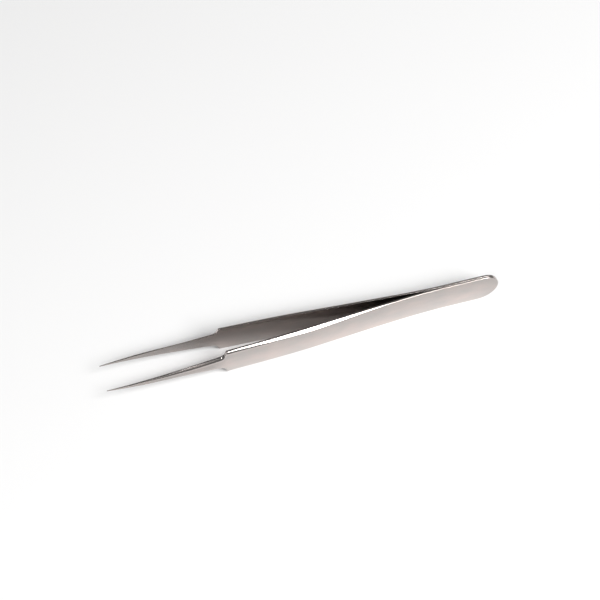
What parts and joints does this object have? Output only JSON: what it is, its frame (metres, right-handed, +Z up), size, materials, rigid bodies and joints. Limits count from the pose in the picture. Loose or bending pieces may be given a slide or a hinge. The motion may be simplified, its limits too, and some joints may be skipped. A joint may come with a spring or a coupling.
{
  "type": "precision tweezers",
  "caption": "Fine-point precision tweezers with sprung arms welded at a rounded heel, bevelled grips and slender tapered tips beyond relieved shoulders.",
  "frame": {"origin": "centre of the tweezers' bounding box in plan, at the plane that the lower edges of the arms rest on", "axes": "+X from the tips to the heel, +Y across the opening towards the right arm, +Z up along the arms' width, with the tweezers lying on edge"},
  "size_m": [0.11, 0.01, 0.0081],
  "materials": {
    "arm_steel": "satin-ground stainless spring steel",
    "weld_steel": "as-welded stainless steel"
  },
  "bodies": {
    "heel": {"left_heel": "arm_steel", "right_heel": "arm_steel", "weld_nuggets": "weld_steel"},
    "left_arm": {"left_arm": "arm_steel"},
    "right_arm": {"right_arm": "arm_steel"}
  },
  "joints": [
    {"name": "left_flex", "type": "hinge", "parent": "heel", "child": "left_arm", "pos_m": [0.033, -0.0005, 0.00405], "axis": [0, 0, -1], "range_deg": [0, 2.68], "stiffness_Nm_per_rad": 1.5},
    {"name": "right_flex", "type": "hinge", "parent": "heel", "child": "right_arm", "pos_m": [0.033, 0.0005, 0.00405], "axis": [0, 0, 1], "range_deg": [0, 2.68], "stiffness_Nm_per_rad": 1.5}
  ]
}
